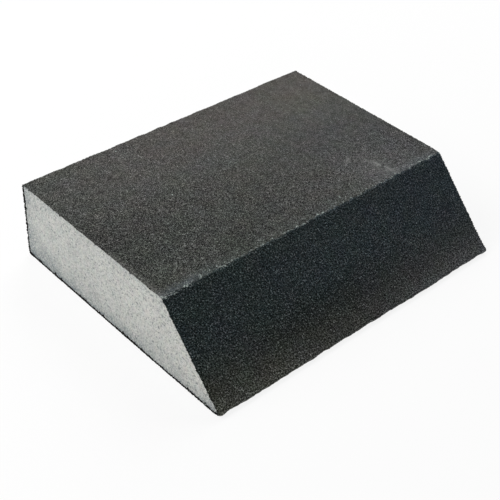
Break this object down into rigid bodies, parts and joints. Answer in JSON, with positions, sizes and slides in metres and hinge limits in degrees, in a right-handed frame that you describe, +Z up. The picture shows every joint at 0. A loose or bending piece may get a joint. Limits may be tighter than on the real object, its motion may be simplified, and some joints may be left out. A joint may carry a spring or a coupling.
{
  "type": "sanding sponge",
  "caption": "Angled hand sanding sponge: a foam block with a sloping long side, coated with grit on its long faces.",
  "frame": {"origin": "middle of the base, on the face that the sponge rests on", "axes": "+X along the length, +Y towards the upright back, +Z up from the base to the narrower top"},
  "size_m": [0.107, 0.0864, 0.025],
  "materials": {
    "foam": "open-cell polyurethane foam, cut",
    "grit": "aluminium oxide grit in hardened resin"
  },
  "bodies": {
    "root": {"foam_block": "foam", "abrasive_coat": "grit"}
  },
  "joints": []
}
